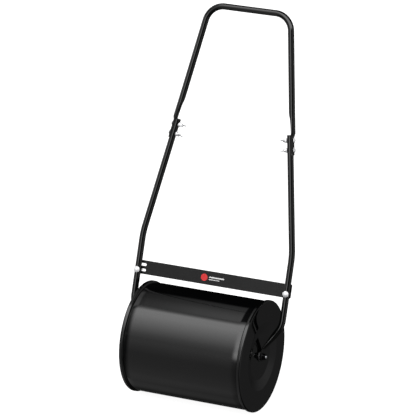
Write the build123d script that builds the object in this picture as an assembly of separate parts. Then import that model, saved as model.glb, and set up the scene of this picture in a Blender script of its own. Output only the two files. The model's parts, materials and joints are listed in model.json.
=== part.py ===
from build123d import *
import math
import os

# Lawn roller: a hollow steel drum on a through axle, pushed by a tubular handle in
# two bolted halves, with a scraper bar just behind the drum.
#
# Millimetres. +X runs along the axle to the right, +Y away from the user's front
# view of the drum, towards the handle bar, +Z up. The origin is on the ground,
# midway between the front of the drum and the back of the handle bar.
#
# The handle is drawn upright in its own frame, with x along the axle, y across
# the tubes and z up the handle from the axle, and is then leaned back.

# ---------------------------------------------------------------- drum
DRUM_WIDTH = 372.4        # over the end plates
RIM_RADIUS = 160.0        # rolling radius, at the rims
BODY_RADIUS = 156.5       # between the rims
SHEET = 1.5               # steel sheet of the shell and the end plates
END_RADIUS = 154.9        # where the shell, curving in, meets the end plate's rim
SHELL_HALF = 173.0        # half length of the shell
CURVE_IN = 153.0          # where the shell starts to curve in
RIM_STEP = 0.4            # gap between the shell's edge and the rim
RIM_RISE = 2.6            # length of the rim's rise from the shell
RIM_ROUND = 3.6           # rounding of the rim into the end face
RECESS_MOUTH = 99.5       # radius where the end plate starts to slope in
RECESS_FLOOR = 67.0       # radius of the flat centre
RECESS_DEPTH = 6.7
RECESS_ROUND = 20.0       # rounding of the sheet at both ends of the slope
SKIRT_LENGTH = 26.0       # end plate's skirt inside the shell
SKIRT_GAP = 0.3

# ---------------------------------------------------------------- axle
AXLE_RADIUS = 7.0         # in the bushes
AXLE_END_RADIUS = 5.0     # threaded ends, beyond a shoulder
AXLE_HALF = 198.5
HUB_OUTER, HUB_INNER = 14.0, 11.5
HUB_PROUD = 1.0
BUSH_FLANGE = 1.5
BUSH_FLANGE_RADIUS = 14.6
BUSH_LENGTH = 20.0
RUNNING_CLEARANCE = 0.06  # bush bore over the axle, on the radius
END_PLAY = 0.3
THRUST_WASHER = 1.6
AXLE_WASHER_RADIUS = 10.5
TAB_WASHER = 1.6
AXLE_NUT_FLATS = 16.0
LOCK_NUT_HEIGHT = 8.0
LOCK_COLLAR, LOCK_COLLAR_RADIUS = 2.5, 7.2

# ---------------------------------------------------------------- handle
LEAN = 19.93              # degrees back from upright
TUBE_RADIUS = 9.0
TUBE_WALL = 1.5
BAR_S = 960.0             # handle bar's height above the axle, along the handle
CORNER_X = 124.1          # where the bar's axis meets the side's axis
CORNER_BEND = 53.0
JOINT_TOP_X, JOINT_TOP_S = 173.6, 626.5   # top of the lower tube's axis
UPPER_X_AT_JOINT = 180.0  # upper tube's axis produced down to that height
CRIMP_TOP_S = 692.0       # where the upper tube starts to be pressed in
CRIMP_FULL = 6.0          # full crescent from here, above the lower tube's end
CRIMP_BOTTOM = 57.0       # crescent's end, below the lower tube's end
CRIMP_WALL = 2.4          # the pressed tube's two walls together
CRIMP_GAP = 0.15
CRIMP_HALF_ANGLE = 54.0
LEG_X = 231.0             # upright part of the lower tube
ELBOW_S = 293.0
ELBOW_BEND = 250.0
KNEE_S = 110.7            # where the tube turns in towards the axle
KNEE_BEND = 60.0
ANKLE_BEND = 20.0
TURN_IN = 32.0            # degrees
TAB_THICK = 3.2
FLATTEN_FROM = 45.0       # travel past the knee's start where the tube starts to flatten
FLAT_STATIONS = 13        # sections from the knee's start to the flat tab

# ---------------------------------------------------------------- fasteners
JOINT_BOLTS_DOWN = (15.0, 42.5)   # below the lower tube's end, along it
M6 = 3.0                  # thread radius
HOLE_GAP = 0.3
THREAD_GAP = 0.05
M6_FLATS, M6_NUT = 10.0, 5.0
JOINT_HEAD_RADIUS, JOINT_HEAD = 7.25, 3.6     # domed bolt head
JOINT_WASHER_RADIUS, JOINT_WASHER = 7.25, 1.6
JOINT_BOLT_BEYOND = 10.5          # bolt beyond the tube's inner side
WING_BASE_RADIUS, WING_TOP_RADIUS, WING_BASE_HEIGHT = 6.2, 5.0, 8.0
WING_SPAN, WING_HEIGHT, WING_THICK = 28.0, 15.5, 2.6
WING_LOBE, WING_ROOT = 4.6, 2.6   # radii of a wing's tip and foot
SCRAPER_HEAD_RADIUS, SCRAPER_HEAD = 8.8, 4.6  # domed bolt head
SCRAPER_BOLT_BEYOND = 3.0         # bolt beyond its nut
SCRAPER_WASHER_RADIUS, SCRAPER_WASHER = 8.8, 1.6

# ---------------------------------------------------------------- scraper
SCRAPER_HALF = 240.0
SCRAPER_S = 192.5
SCRAPER_HEIGHT = 39.6
SCRAPER_THICK = 3.0
SCRAPER_CORNER = 2.5
BOLT_SLOT_S = 184.3       # slot at each end that the bolt goes through
SPARE_SLOT_S = 200.0      # second slot, at the left end only
LEFT_SLOT_IN, RIGHT_SLOT_IN, SLOT_OUT = 210.0, 214.0, 235.5
SLOT_HEIGHT = 7.5

# ---------------------------------------------------------------- filler
FILLER_RADIUS_ON_PLATE = 125.0
FILLER_ANGLE = 250.0      # degrees from the front, over the top: low, at the back
SOCKET_OUTER, SOCKET_BORE = 17.0, 12.6
SOCKET_DEPTH, SOCKET_PROUD = 13.5, 1.5
GASKET_OUTER, GASKET_INNER, GASKET = 15.6, 12.7, 2.0
PLUG_THREAD, PLUG_FLANGE, PLUG_FLANGE_RADIUS = 12.25, 4.0, 16.4
PLUG_SHANK = 11.0
PLUG_GRIP_LENGTH, PLUG_GRIP_WIDTH, PLUG_GRIP_HEIGHT = 25.0, 6.0, 7.5

# ---------------------------------------------------------------- worked out
LEAN_RAD = math.radians(LEAN)
AXLE_Z = RIM_RADIUS
AXLE_Y = (RIM_RADIUS - BAR_S * math.sin(LEAN_RAD) - TUBE_RADIUS) / 2
HALF = DRUM_WIDTH / 2
FLOOR_X = HALF - RECESS_DEPTH
HUB_END = FLOOR_X + HUB_PROUD
THRUST_X = HUB_END + BUSH_FLANGE + END_PLAY   # the axle's shoulder
TAB_IN = THRUST_X + THRUST_WASHER
TAB_OUT = TAB_IN + TAB_THICK
TAB_X = (TAB_IN + TAB_OUT) / 2                # middle of the flattened tab
RECESS_SLOPE = math.atan2(RECESS_DEPTH, RECESS_MOUTH - RECESS_FLOOR)
SHEET_SHIFT = SHEET * math.tan(RECESS_SLOPE / 2)   # keeps the sloping sheet's thickness
LOWER_TOP = Vector(JOINT_TOP_X, 0, JOINT_TOP_S)
LOWER_UP = (LOWER_TOP - Vector(LEG_X, 0, ELBOW_S)).normalized()
LOWER_OUT = Vector(LOWER_UP.Z, 0, -LOWER_UP.X)
UPPER_CORNER = Vector(CORNER_X, 0, BAR_S)
UPPER_UP = (UPPER_CORNER - Vector(UPPER_X_AT_JOINT, 0, JOINT_TOP_S)).normalized()
UPPER_OUT = Vector(UPPER_UP.Z, 0, -UPPER_UP.X)
CRESCENT_IN = TUBE_RADIUS + CRIMP_GAP
CRESCENT_OUT = CRESCENT_IN + CRIMP_WALL


# ---------------------------------------------------------------- placing
def lean(shape):
    """Carry a shape from the upright handle frame to its place."""
    return Location((0, AXLE_Y, AXLE_Z), (-LEAN, 0, 0)) * shape


def at_axle(shape):
    """Carry a shape drawn round the origin's X axis to the drum's axle."""
    return Location((0, AXLE_Y, AXLE_Z)) * shape


def other_side(shape):
    return mirror(shape, about=Plane.YZ)


def write(name, *solids):
    body = solids[0] if len(solids) == 1 else Compound(children=[s.solid() for s in solids])
    export_step(body, os.path.join("parts", name + ".step"))


# ---------------------------------------------------------------- simple pieces
def ring(x_start, length, outer, inner):
    """A round washer or collar on the X axis."""
    plane = Plane(origin=(x_start, 0, 0), x_dir=(0, 1, 0), z_dir=(1, 0, 0))
    return extrude(plane * (Circle(outer) - Circle(inner)), length)


def hexagon_prism(plane, flats, height):
    """A hexagon standing on a plane, its upper corners chamfered as on a bolt head."""
    corner = flats / math.sqrt(3)
    prism = extrude(plane * RegularPolygon(corner, 6), height)
    chamfer_drop = (corner - flats / 2) * math.tan(math.radians(30))
    top = extrude(plane * Circle(corner), height - chamfer_drop)
    top += loft([
        plane.offset(height - chamfer_drop) * Circle(corner),
        plane.offset(height) * Circle(flats / 2),
    ])
    return prism & top


def domed_head(plane, radius, height):
    """A low dome standing on a plane."""
    dome_radius = (radius ** 2 + height ** 2) / (2 * height)
    ball = plane.offset(height - dome_radius).location * Sphere(dome_radius)
    return ball & extrude(plane * Circle(2 * radius), height)


def bolt_shank(plane, length):
    """M6 shank below the plane, its end chamfered."""
    taper = M6 / 3
    shank = extrude(plane * Circle(M6), taper - length)
    return shank + loft([
        plane.offset(taper - length) * Circle(M6),
        plane.offset(-length) * Circle(M6 - taper / 2),
    ])


def washer(plane, outer, inner, thick):
    disc = extrude(plane * (Circle(outer) - Circle(inner)), thick)
    return chamfer(disc.edges().filter_by(GeomType.CIRCLE).group_by(SortBy.RADIUS)[-1], 0.25)


# ---------------------------------------------------------------- drum
def shell_line(shift):
    """Section line of the shell, this far in from its outside: level, then curving in."""
    level = Line((-CURVE_IN, BODY_RADIUS - shift), (CURVE_IN, BODY_RADIUS - shift))
    ends = (SHELL_HALF, END_RADIUS - shift)
    return [
        level, TangentArc(level @ 1, ends, tangent=(1, 0)),
        TangentArc(level @ 0, (-ends[0], ends[1]), tangent=(-1, 0)),
    ]


def drum_shell():
    outer, inner = shell_line(0), shell_line(SHEET)
    edges = [Line(a @ 1, b @ 1) for a, b in zip(outer[1:], inner[1:])]
    return at_axle(revolve(make_face(outer + inner + edges), Axis.X))


def end_plate():
    """Right-hand end plate: skirt, rolled rim, flat ring, sloping wall, flat centre."""
    skirt = END_RADIUS - SHEET - SKIRT_GAP
    step = SHELL_HALF + RIM_STEP
    bore = HUB_OUTER + 0.05
    outer = [
        (step - SKIRT_LENGTH, skirt), (step, skirt), (step, END_RADIUS),
        (step + RIM_RISE, RIM_RADIUS), (HALF, RIM_RADIUS), (HALF, RECESS_MOUTH),
        (FLOOR_X, RECESS_FLOOR), (FLOOR_X, bore),
    ]
    inner = [
        (FLOOR_X - SHEET, bore), (FLOOR_X - SHEET, RECESS_FLOOR + SHEET_SHIFT),
        (HALF - SHEET, RECESS_MOUTH + SHEET_SHIFT), (HALF - SHEET, RIM_RADIUS - SHEET),
        (step + RIM_RISE + SHEET / 2, RIM_RADIUS - SHEET), (step + SHEET, END_RADIUS),
        (step + SHEET, skirt - SHEET), (step - SKIRT_LENGTH, skirt - SHEET),
    ]
    profile = make_face(Polyline(*(outer + inner), close=True))

    def near(x, radius):
        return min(profile.vertices(), key=lambda v: math.hypot(v.X - x, v.Y - radius))

    rounds = [
        (near(HALF, RIM_RADIUS), RIM_ROUND),
        (near(HALF - SHEET, RIM_RADIUS - SHEET), RIM_ROUND - SHEET),
        (near(step + RIM_RISE, RIM_RADIUS), 2.4),
        (near(HALF, RECESS_MOUTH), RECESS_ROUND),
        (near(HALF - SHEET, RECESS_MOUTH), RECESS_ROUND - SHEET),
        (near(FLOOR_X, RECESS_FLOOR), RECESS_ROUND - SHEET),
        (near(FLOOR_X - SHEET, RECESS_FLOOR), RECESS_ROUND),
    ]
    for corner, radius in rounds:
        corner = near(corner.X, corner.Y)
        profile = fillet(corner, radius)
    return at_axle(revolve(profile, Axis.X))


def filler_place():
    """Plane on the left end plate's outer face, at the filler, facing out."""
    turn = math.radians(FILLER_ANGLE)
    y = AXLE_Y - FILLER_RADIUS_ON_PLATE * math.cos(turn)
    z = AXLE_Z + FILLER_RADIUS_ON_PLATE * math.sin(turn)
    return Plane(origin=(-HALF, y, z), x_dir=(0, 1, 0), z_dir=(-1, 0, 0))


def left_end_plate():
    hole = extrude(filler_place().offset(-2 * SHEET) * Circle(SOCKET_OUTER + 0.05), 4 * SHEET)
    return other_side(end_plate()) - hole


def hub_tube():
    return at_axle(ring(-HUB_END, 2 * HUB_END, HUB_OUTER, HUB_INNER))


def bush():
    """Right-hand bearing bush, its flange against the hub tube's end."""
    body = ring(HUB_END - BUSH_LENGTH, BUSH_LENGTH, HUB_INNER - 0.05, AXLE_RADIUS + RUNNING_CLEARANCE)
    flange = ring(HUB_END, BUSH_FLANGE, BUSH_FLANGE_RADIUS, AXLE_RADIUS + RUNNING_CLEARANCE)
    return at_axle(body + flange)


# ---------------------------------------------------------------- filler
def filler_socket():
    plane = filler_place().offset(SOCKET_PROUD)
    return extrude(plane * (Circle(SOCKET_OUTER) - Circle(SOCKET_BORE)), -SOCKET_DEPTH)


def filler_gasket():
    plane = filler_place().offset(SOCKET_PROUD)
    body = extrude(plane * (Circle(GASKET_OUTER) - Circle(GASKET_INNER)), GASKET)
    return fillet(body.edges().filter_by(GeomType.CIRCLE).group_by(SortBy.RADIUS)[-1], 0.6)


def filler_plug():
    plane = filler_place().offset(SOCKET_PROUD + GASKET)
    flange = extrude(plane * Circle(PLUG_FLANGE_RADIUS), PLUG_FLANGE)
    flange = fillet(flange.edges().group_by(Axis.X)[0], 1.4)
    shank = extrude(plane * Circle(PLUG_THREAD), -PLUG_SHANK)
    shank = chamfer(shank.edges().group_by(Axis.X)[-1], 1.0)
    grip = extrude(
        plane.offset(PLUG_FLANGE) * SlotOverall(PLUG_GRIP_LENGTH, PLUG_GRIP_WIDTH), PLUG_GRIP_HEIGHT
    )
    grip = fillet(grip.edges().group_by(Axis.X)[0], 1.2)
    return flange + shank + grip


# ---------------------------------------------------------------- axle
def across_axle(x):
    return Plane(origin=(x, 0, 0), x_dir=(0, 1, 0), z_dir=(1, 0, 0))


def axle_rod():
    """Rod with a shoulder near each end, where the threaded part starts."""
    rod = extrude(across_axle(-AXLE_HALF) * Circle(AXLE_END_RADIUS), 2 * AXLE_HALF)
    rod = chamfer(rod.edges().filter_by(GeomType.CIRCLE), 1.0)
    return at_axle(rod + extrude(across_axle(-THRUST_X) * Circle(AXLE_RADIUS), 2 * THRUST_X))


def axle_washer(x_start, thick):
    return at_axle(ring(x_start, thick, AXLE_WASHER_RADIUS, AXLE_END_RADIUS + HOLE_GAP))


def lock_nut():
    """Right-hand nut with its round locking collar."""
    start, hexagon = TAB_OUT + TAB_WASHER, LOCK_NUT_HEIGHT - LOCK_COLLAR
    bore = AXLE_END_RADIUS + THREAD_GAP
    nut = hexagon_prism(across_axle(start), AXLE_NUT_FLATS, hexagon)
    nut -= extrude(across_axle(start) * Circle(bore), hexagon)
    return at_axle(nut + ring(start + hexagon, LOCK_COLLAR, LOCK_COLLAR_RADIUS, bore))


# ---------------------------------------------------------------- handle tubes
def lower_plane(down, out=0.0):
    """Plane across the right lower tube, this far below its top end, axis at its centre."""
    origin = LOWER_TOP - LOWER_UP * down + LOWER_OUT * out
    return Plane(origin=origin, x_dir=LOWER_OUT, z_dir=LOWER_UP)


def crimp_outline(nest, press):
    """Outline of the upper tube's end, from round (press 0) to a crescent (press 1).

    The lower tube's axis is at (0, 0), and the round tube's centre at (nest, 0).
    Each of the four arcs runs between matching points at every stage.
    """
    def on_circle(angle):
        turn = math.radians(angle)
        return (nest + TUBE_RADIUS * math.cos(turn), TUBE_RADIUS * math.sin(turn))

    def on_crescent(radius, angle):
        turn = math.radians(angle)
        return (radius * math.cos(turn), radius * math.sin(turn))

    def tip(sign):
        turn = math.radians(CRIMP_HALF_ANGLE)
        middle, reach = (CRESCENT_OUT + CRESCENT_IN) / 2, CRIMP_WALL / 2
        x = middle * math.cos(turn) - reach * math.sin(turn)
        return (x, sign * (middle * math.sin(turn) + reach * math.cos(turn)))

    pairs = [
        (on_circle(-103), on_crescent(CRESCENT_OUT, -CRIMP_HALF_ANGLE)),
        (on_circle(0), on_crescent(CRESCENT_OUT, 0)),
        (on_circle(103), on_crescent(CRESCENT_OUT, CRIMP_HALF_ANGLE)),
        (on_circle(114.5), tip(1)),
        (on_circle(126), on_crescent(CRESCENT_IN, CRIMP_HALF_ANGLE)),
        (on_circle(180), on_crescent(CRESCENT_IN, 0)),
        (on_circle(-126), on_crescent(CRESCENT_IN, -CRIMP_HALF_ANGLE)),
        (on_circle(-114.5), tip(-1)),
    ]
    p = [tuple(a + (b - a) * press for a, b in zip(*pair)) for pair in pairs]
    arcs = [ThreePointArc(p[i], p[i + 1], p[(i + 2) % 8]) for i in (0, 2, 4, 6)]
    return make_face(arcs)


def crimped_end(start):
    """The upper tube's pressed right-hand end, from the point where it is still round."""
    drop = (start - LOWER_TOP).dot(LOWER_UP)
    nest = (start - (LOWER_TOP + LOWER_UP * drop)).dot(LOWER_OUT)
    top = Plane(origin=start - UPPER_OUT * nest, x_dir=UPPER_OUT, z_dir=UPPER_UP)
    sections = [top * crimp_outline(nest, 0)]
    for share in (0.3, 0.55, 0.8):
        height = drop + (CRIMP_FULL - drop) * share
        press = share * share * (3 - 2 * share)
        sections.append(lower_plane(-height) * crimp_outline(nest, press))
    full = lower_plane(-CRIMP_FULL) * crimp_outline(nest, 1)
    sections.append(full)
    crescent = extrude(full, amount=CRIMP_FULL + CRIMP_BOTTOM, dir=LOWER_UP * -1)
    return loft(sections) + crescent


def joint_holes():
    """Bolt holes through the right-hand joint."""
    holes = []
    for down in JOINT_BOLTS_DOWN:
        centre = LOWER_TOP - LOWER_UP * down
        plane = Plane(origin=centre - LOWER_OUT * 20, x_dir=(0, 1, 0), z_dir=LOWER_OUT)
        holes.append(extrude(plane * Circle(M6 + HOLE_GAP), 40))
    return holes


def upper_handle():
    start = UPPER_CORNER - UPPER_UP * ((BAR_S - CRIMP_TOP_S) / UPPER_UP.Z)
    corners = [
        start, UPPER_CORNER, Vector(-CORNER_X, 0, BAR_S), Vector(-start.X, 0, start.Z),
    ]
    path = FilletPolyline(*corners, radius=CORNER_BEND)
    section = Plane(origin=path @ 0, z_dir=path % 0)
    tube = sweep(section * Circle(TUBE_RADIUS), path=path)
    tube -= sweep(section * Circle(TUBE_RADIUS - TUBE_WALL), path=path)
    end = crimped_end(start)
    for hole in joint_holes():
        end -= hole
    return lean(tube + end + other_side(end))


def flat_section(travel, total):
    """Plane and size of the lower tube's section through the knee and the flattened end.

    travel is the distance along the tube's axis from the knee's start.
    """
    turn = math.radians(TURN_IN)
    knee, ankle = KNEE_BEND * turn, ANKLE_BEND * turn
    straight = total - knee - ankle
    if travel <= knee:
        angle = travel / KNEE_BEND
        x = LEG_X - KNEE_BEND * (1 - math.cos(angle))
        s = KNEE_S - KNEE_BEND * math.sin(angle)
    else:
        along = min(travel - knee, straight)
        x = LEG_X - KNEE_BEND * (1 - math.cos(turn)) - along * math.sin(turn)
        s = KNEE_S - KNEE_BEND * math.sin(turn) - along * math.cos(turn)
        angle = turn
        if travel > knee + straight:
            angle = turn - (travel - knee - straight) / ANKLE_BEND
            x -= ANKLE_BEND * (math.cos(angle) - math.cos(turn))
            s -= ANKLE_BEND * (math.sin(turn) - math.sin(angle))
    share = max(0.0, (travel - FLATTEN_FROM) / (total - FLATTEN_FROM))
    thick = 2 * TUBE_RADIUS - (2 * TUBE_RADIUS - TAB_THICK) * share * share * (3 - 2 * share)
    width = thick + math.pi / 2 * (2 * TUBE_RADIUS - thick)
    down = Vector(-math.sin(angle), 0, -math.cos(angle))
    plane = Plane(origin=(x, 0, s), x_dir=(0, 1, 0), z_dir=down)
    return plane, width, thick


def right_lower_tube():
    turn = math.radians(TURN_IN)
    inward = LEG_X - TAB_X - (KNEE_BEND + ANKLE_BEND) * (1 - math.cos(turn))
    total = (KNEE_BEND + ANKLE_BEND) * turn + inward / math.sin(turn)
    path = FilletPolyline(
        LOWER_TOP, Vector(LEG_X, 0, ELBOW_S), Vector(LEG_X, 0, KNEE_S), radius=ELBOW_BEND
    )
    section = Plane(origin=path @ 0, z_dir=path % 0)
    bore = TUBE_RADIUS - TUBE_WALL
    tube = sweep(section * Circle(TUBE_RADIUS), path=path)
    tube -= sweep(section * Circle(bore), path=path)
    sections = []
    for i in range(FLAT_STATIONS):
        plane, width, thick = flat_section(total * i / (FLAT_STATIONS - 1), total)
        sections.append(plane * RectangleRounded(width, thick, thick / 2 - 0.02))
    tab_top = sections[-1].center().Z
    pinched = loft(sections)
    tab_width = width
    tab_plane = Plane(origin=(TAB_IN, 0, 0), x_dir=(0, 1, 0), z_dir=(1, 0, 0))
    tab = extrude(tab_plane * (
        Circle(tab_width / 2) + Pos(0, tab_top / 2) * Rectangle(tab_width, tab_top)
    ), TAB_THICK)
    solid = tube + pinched + tab
    solid -= extrude(tab_plane * Circle(AXLE_END_RADIUS + HOLE_GAP), TAB_THICK)
    solid -= extrude(behind_plate(-2 * TUBE_RADIUS) * Circle(M6 + HOLE_GAP), 4 * TUBE_RADIUS)
    for hole in joint_holes():
        solid -= hole
    return lean(solid)


# ---------------------------------------------------------------- handle joint
def joint_plane(down, out, z_dir):
    centre = LOWER_TOP - LOWER_UP * down + LOWER_OUT * out
    return Plane(origin=centre, x_dir=(0, 1, 0), z_dir=z_dir)


def joint_bolt(down):
    """A domed head on the pressed end's outer side, its shank through to the wing nut."""
    plane = joint_plane(down, CRESCENT_OUT, LOWER_OUT)
    length = CRESCENT_OUT + TUBE_RADIUS + JOINT_WASHER + JOINT_BOLT_BEYOND
    return lean(domed_head(plane, JOINT_HEAD_RADIUS, JOINT_HEAD) + bolt_shank(plane, length))


def joint_washer(down):
    plane = joint_plane(down, -TUBE_RADIUS, LOWER_OUT * -1)
    return lean(washer(plane, JOINT_WASHER_RADIUS, M6 + HOLE_GAP, JOINT_WASHER))


def wing_nut(down):
    """A tapered base with two swept wings, on the washer at the tube's inner side."""
    plane = joint_plane(down, -TUBE_RADIUS - JOINT_WASHER, LOWER_OUT * -1)
    base = loft([
        plane * Circle(WING_BASE_RADIUS), plane.offset(WING_BASE_HEIGHT) * Circle(WING_TOP_RADIUS),
    ])
    wing_tip = (WING_SPAN / 2 - WING_LOBE, WING_HEIGHT - WING_LOBE)
    foot = (WING_TOP_RADIUS * 0.4, WING_BASE_HEIGHT * 0.42)
    side = Plane(origin=plane.origin, x_dir=plane.x_dir, z_dir=plane.y_dir * -1)
    lobe, root = Pos(*wing_tip) * Circle(WING_LOBE), Pos(*foot) * Circle(WING_ROOT)
    wing = make_hull(lobe.edges() + root.edges())
    wings = wing + mirror(wing, about=Plane.YZ)
    solid = base + extrude(side * wings, WING_THICK / 2, both=True)
    return lean(solid - extrude(plane * Circle(M6 + THREAD_GAP), WING_HEIGHT))


# ---------------------------------------------------------------- scraper
def scraper_plane(y):
    return Plane(origin=(0, y, 0), x_dir=(1, 0, 0), z_dir=(0, -1, 0))


def scraper_plate():
    outline = Pos(0, SCRAPER_S) * RectangleRounded(2 * SCRAPER_HALF, SCRAPER_HEIGHT, SCRAPER_CORNER)
    slots = (
        (RIGHT_SLOT_IN, SLOT_OUT, BOLT_SLOT_S),
        (-SLOT_OUT, -LEFT_SLOT_IN, BOLT_SLOT_S),
        (-SLOT_OUT, -LEFT_SLOT_IN, SPARE_SLOT_S),
    )
    for start, end, s in slots:
        outline -= Pos((start + end) / 2, s) * SlotOverall(end - start, SLOT_HEIGHT)
    return lean(extrude(scraper_plane(TUBE_RADIUS + SCRAPER_THICK) * outline, SCRAPER_THICK))


def scraper_bolt():
    """A low domed head on the tube's front, its nut behind the plate."""
    plane = Plane(origin=(LEG_X, -TUBE_RADIUS, BOLT_SLOT_S), x_dir=(1, 0, 0), z_dir=(0, -1, 0))
    head = domed_head(plane, SCRAPER_HEAD_RADIUS, SCRAPER_HEAD)
    length = 2 * TUBE_RADIUS + SCRAPER_THICK + SCRAPER_WASHER + M6_NUT + SCRAPER_BOLT_BEYOND
    return lean(head + bolt_shank(plane, length))


def behind_plate(y):
    return Plane(origin=(LEG_X, y, BOLT_SLOT_S), x_dir=(1, 0, 0), z_dir=(0, 1, 0))


def scraper_washer():
    plane = behind_plate(TUBE_RADIUS + SCRAPER_THICK)
    return lean(washer(plane, SCRAPER_WASHER_RADIUS, M6 + HOLE_GAP, SCRAPER_WASHER))


def scraper_nut():
    plane = behind_plate(TUBE_RADIUS + SCRAPER_THICK + SCRAPER_WASHER)
    nut = hexagon_prism(plane, M6_FLATS, M6_NUT)
    return lean(nut - extrude(plane * Circle(M6 + THREAD_GAP), M6_NUT))


# ---------------------------------------------------------------- write the parts
def both(solid):
    return (solid, other_side(solid))


def main():
    os.makedirs("parts", exist_ok=True)
    write("upper_handle", upper_handle())
    tube = right_lower_tube()
    write("right_lower_tube", tube)
    write("left_lower_tube", other_side(tube))
    write("scraper_plate", scraper_plate())
    write("scraper_bolts", *both(scraper_bolt()))
    write("scraper_washers", *both(scraper_washer()))
    write("scraper_nuts", *both(scraper_nut()))
    joint_pieces = {
        "joint_bolts": joint_bolt, "joint_washers": joint_washer, "wing_nuts": wing_nut,
    }
    for name, piece in joint_pieces.items():
        pair = [piece(down) for down in JOINT_BOLTS_DOWN]
        write("right_" + name, *pair)
        write("left_" + name, *[other_side(solid) for solid in pair])
    write("axle_rod", axle_rod())
    write("axle_thrust_washers", *both(axle_washer(THRUST_X, THRUST_WASHER)))
    write("axle_tab_washers", *both(axle_washer(TAB_OUT, TAB_WASHER)))
    write("axle_lock_nuts", *both(lock_nut()))
    write("drum_shell", drum_shell())
    write("right_end_plate", end_plate())
    write("left_end_plate", left_end_plate())
    write("hub_tube", hub_tube())
    write("right_bush", bush())
    write("left_bush", other_side(bush()))
    write("filler_socket", filler_socket())
    write("filler_gasket", filler_gasket())
    write("filler_plug", filler_plug())


main()
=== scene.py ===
import json
import math
import random

import bmesh
import bpy
from mathutils import Matrix, Vector


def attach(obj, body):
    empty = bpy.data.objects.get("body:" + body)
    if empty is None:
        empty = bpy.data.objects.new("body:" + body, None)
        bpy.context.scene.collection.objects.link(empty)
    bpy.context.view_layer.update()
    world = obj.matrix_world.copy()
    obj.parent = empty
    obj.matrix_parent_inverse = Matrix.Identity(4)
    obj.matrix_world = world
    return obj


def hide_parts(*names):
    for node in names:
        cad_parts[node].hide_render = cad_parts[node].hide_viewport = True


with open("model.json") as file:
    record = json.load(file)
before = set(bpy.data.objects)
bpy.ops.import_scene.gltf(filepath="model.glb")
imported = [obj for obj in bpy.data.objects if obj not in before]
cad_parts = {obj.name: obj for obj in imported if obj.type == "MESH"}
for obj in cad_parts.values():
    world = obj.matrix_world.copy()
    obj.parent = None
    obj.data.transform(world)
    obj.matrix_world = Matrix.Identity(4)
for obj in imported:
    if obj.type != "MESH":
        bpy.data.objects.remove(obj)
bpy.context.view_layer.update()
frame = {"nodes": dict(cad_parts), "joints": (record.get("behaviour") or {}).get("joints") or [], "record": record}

MM = 0.001
random.seed(7)

# ---------------------------- the frame's own sizes
SPIN = next(j for j in frame["joints"] if j["name"] == "drum_spin")
PLUG = next(j for j in frame["joints"] if j["name"] == "plug_turn")
AXLE = Vector(SPIN["pos_m"])
FILLER = Vector(PLUG["pos_m"])
BAR = Vector(frame["record"]["mounts"][0]["pos_m"])
LEAN = math.atan2(BAR.y - AXLE.y, BAR.z - AXLE.z)

# Millimetres, as the CAD pieces are. Only the pressed outer wall's slower fall, down to
# OUTER_WALL_DOWN, is drawn here and not in the CAD.
HALF = 186.2
RIM = 160.0
BODY = 156.5
SHEET = 1.5
SHELL_HALF = 173.0
CURVE_IN = 153.0
END_RADIUS = 154.9
RIM_STEP, RIM_RISE, RISE_ROUND, RIM_ROUND = 0.4, 2.6, 2.4, 3.6
RECESS_MOUTH, RECESS_FLOOR, RECESS_ROUND = 99.5, 67.0, 20.0
FLOOR_X = 179.5
HUB_END = 180.5
TUBE = 9.0
BORE = 7.5
BAR_S = 960.0
CORNER_X, CORNER_BEND = 124.1, 53.0
JOINT_X, JOINT_S = 173.6, 626.5
UPPER_X = 180.0
CRIMP_TOP_S, CRIMP_FULL, CRIMP_BOTTOM, OUTER_WALL_DOWN = 692.0, 6.0, 57.0, 7.5
CRESCENT_IN, CRESCENT_OUT, CRESCENT_HALF = 9.15, 11.55, 54.0
LEG_X, ELBOW_S, ELBOW_BEND = 231.0, 293.0, 250.0
KNEE_S, KNEE_BEND, ANKLE_BEND, TURN_IN = 110.7, 60.0, 20.0, math.radians(32.0)
TAB_X, TAB_THICK = 185.5, 3.2
JOINT_DOWN = (15.0, 42.5)
SCRAPER_HALF, SCRAPER_S, SCRAPER_HIGH, SCRAPER_THICK = 240.0, 192.5, 39.6, 3.0
BOLT_SLOT_S, SPARE_SLOT_S = 184.3, 200.0
LEFT_SLOT_IN, RIGHT_SLOT_IN, SLOT_OUT, SLOT_HIGH = 210.0, 214.0, 235.5, 7.5
FLATTEN_FROM = 45.0
TAB_WASHER, THRUST_WASHER = 1.6, 1.6
AXLE_WASHER = 10.5
BUSH_FLANGE, END_PLAY = 1.5, 0.3
SKIRT_LONG, SKIRT_GAP, END_BORE = 26.0, 0.3, 14.05
FILLER_HOLE, SOCKET_RADIUS, SOCKET_OUT = 17.05, 17.0, 1.5
PLUG_SEAT, PLUG_PITCH, FLANGE_SCALLOPS = 3.5, 1.814, 24
AXLE_MIDDLE, AXLE_THREAD, AXLE_HOLE, AXLE_END = 7.0, 5.0, 5.3, 198.5
BUSH_BORE, BUSH_RADIUS, FLANGE_RADIUS, BUSH_LONG = 7.06, 11.45, 14.6, 20.0
BOLT_RADIUS, BOLT_HOLE = 3.0, 3.3
JOINT_HEAD, SCRAPER_HEAD, WASHER_THICK = 7.25, 8.8, 1.6
THRUST_X = HUB_END + BUSH_FLANGE + END_PLAY
TAB_OUT = TAB_X + TAB_THICK / 2
LOCK_NUT_X = TAB_OUT + TAB_WASHER


# ---------------------------- placing
def turned(x, y, s):
    """A direction in the upright handle frame, as a direction in the row frame."""
    c, n = math.cos(LEAN), math.sin(LEAN)
    return Vector((x, y * c + s * n, s * c - y * n))


def leaned(x, y, s):
    """A point in the upright handle frame, in millimetres, as a point in the row frame."""
    return AXLE + turned(x, y, s) * MM


def place(origin, z_dir, x_dir):
    """Matrix from a piece's own millimetres to the row frame."""
    z = z_dir.normalized()
    x = (x_dir - z * x_dir.dot(z)).normalized()
    turn = Matrix((x, z.cross(x), z)).transposed().to_4x4()
    return Matrix.Translation(origin) @ turn @ Matrix.Scale(MM, 4)


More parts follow.
